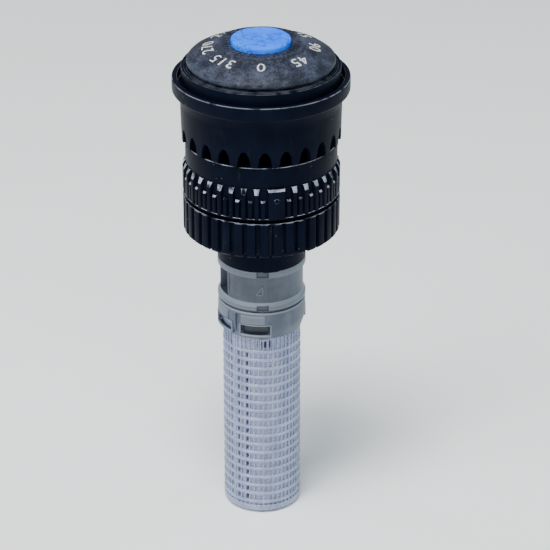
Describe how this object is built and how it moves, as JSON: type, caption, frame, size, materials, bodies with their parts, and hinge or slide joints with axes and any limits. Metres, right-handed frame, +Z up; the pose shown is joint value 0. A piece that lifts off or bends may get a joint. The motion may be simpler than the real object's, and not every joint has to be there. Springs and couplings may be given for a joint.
{
  "type": "rotary sprinkler nozzle",
  "caption": "Hand-adjusted multi-stream rotary nozzle: pop-up deflector in a flanged cup, two knurled rings and a filter screen on a nipple.",
  "frame": {"origin": "on the axis, in the plane of the seat where the riser's rim meets the gasket", "axes": "+Z up the nozzle towards the deflector, -Y the front with the arc marker"},
  "size_m": [0.0256, 0.0256, 0.0757],
  "materials": {
    "clear_screen": "translucent moulded mesh",
    "grey_collar": "moulded grey, satin",
    "grey_neck": "moulded grey, satin",
    "black_body": "moulded black, satin",
    "black_knurl": "moulded black, satin with bright worn edges",
    "black_cup": "moulded black, smooth satin",
    "soft_dome": "soft black, finely mottled",
    "blue_cap": "bright blue, semi gloss",
    "black_rubber": "moulded rubber",
    "steel": "stainless",
    "acetal": "natural acetal",
    "brass": "turned"
  },
  "bodies": {
    "nozzle_body": {"filter_basket": "clear_screen", "filter_collar": "grey_collar", "filter_neck": "grey_neck", "nozzle_base": "black_body", "riser_gasket": "black_rubber", "base_o_ring": "black_rubber", "centre_post": "acetal", "lower_bush": "brass", "upper_bush": "brass", "push_nut": "steel", "cup": "black_cup", "cup_o_ring": "black_rubber"},
    "radius_control": {"radius_ring": "black_knurl", "throttle_carrier": "acetal", "arc_o_ring": "black_rubber"},
    "throttle": {"throttle_nut": "acetal", "throttle_washer": "black_rubber"},
    "arc_control": {"arc_ring": "black_knurl"},
    "arc_valve": {"valve_sleeve": "acetal"},
    "stem": {"drive_shaft": "steel", "brake_disk": "brass", "top_clip": "steel", "spring_retainer": "acetal", "bottom_clip": "steel", "retraction_spring": "steel"},
    "deflector_head": {"deflector": "black_body", "lip_seal": "black_rubber", "brake_pad": "black_rubber", "friction_plate": "brass", "dome_cover": "soft_dome", "id_cap": "blue_cap"}
  },
  "joints": [
    {"name": "radius_turn", "type": "hinge", "parent": "nozzle_body", "child": "radius_control", "pos_m": [0, 0, -0.0033], "axis": [0, 0, 1], "range_deg": [-324, 0]},
    {"name": "throttle_lift", "type": "slide", "parent": "radius_control", "child": "throttle", "axis": [0, 0, 1], "range_m": [-0.0018, 0]},
    {"name": "arc_turn", "type": "hinge", "parent": "nozzle_body", "child": "arc_control", "pos_m": [0, 0, 0.004], "axis": [0, 0, 1], "range_deg": [-225, 0]},
    {"name": "valve_lift", "type": "slide", "parent": "arc_control", "child": "arc_valve", "axis": [0, 0, 1], "range_m": [-0.001, 0]},
    {"name": "pop_up", "type": "slide", "parent": "nozzle_body", "child": "stem", "axis": [0, 0, 1], "range_m": [0, 0.0065], "stiffness_N_per_m": 180, "springref_m": -0.006, "deforming": ["retraction_spring"]},
    {"name": "deflector_spin", "type": "hinge", "parent": "stem", "child": "deflector_head", "pos_m": [0, 0, 0.018], "axis": [0, 0, 1], "continuous": true}
  ],
  "couplings": [
    {"joint": "radius_turn", "follows": "throttle_lift", "rad_per_m": 3141.6},
    {"joint": "arc_turn", "follows": "valve_lift", "rad_per_m": 3927}
  ]
}
